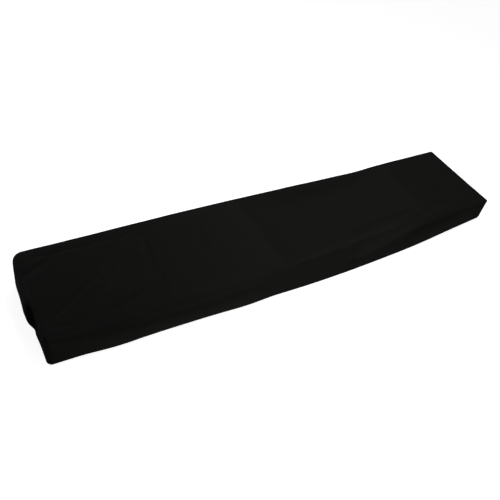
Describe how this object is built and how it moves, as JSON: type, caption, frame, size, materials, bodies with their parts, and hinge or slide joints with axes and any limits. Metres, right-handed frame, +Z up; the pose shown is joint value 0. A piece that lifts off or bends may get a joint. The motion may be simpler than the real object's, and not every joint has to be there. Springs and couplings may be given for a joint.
{
  "type": "fitted keyboard piano cover",
  "caption": "Long black stretch cloth dust cover, open below, shaped as it hangs over a slab digital piano.",
  "frame": {"origin": "middle of the top's underside, where the cover bears on the instrument", "axes": "+X along the keyboard from bass to treble, +Y to the back, +Z up"},
  "size_m": [1.373, 0.2955, 0.1168],
  "materials": {
    "black_stretch_cloth": "matt black stretch knit"
  },
  "bodies": {
    "root": {"cover": "black_stretch_cloth"}
  },
  "joints": []
}
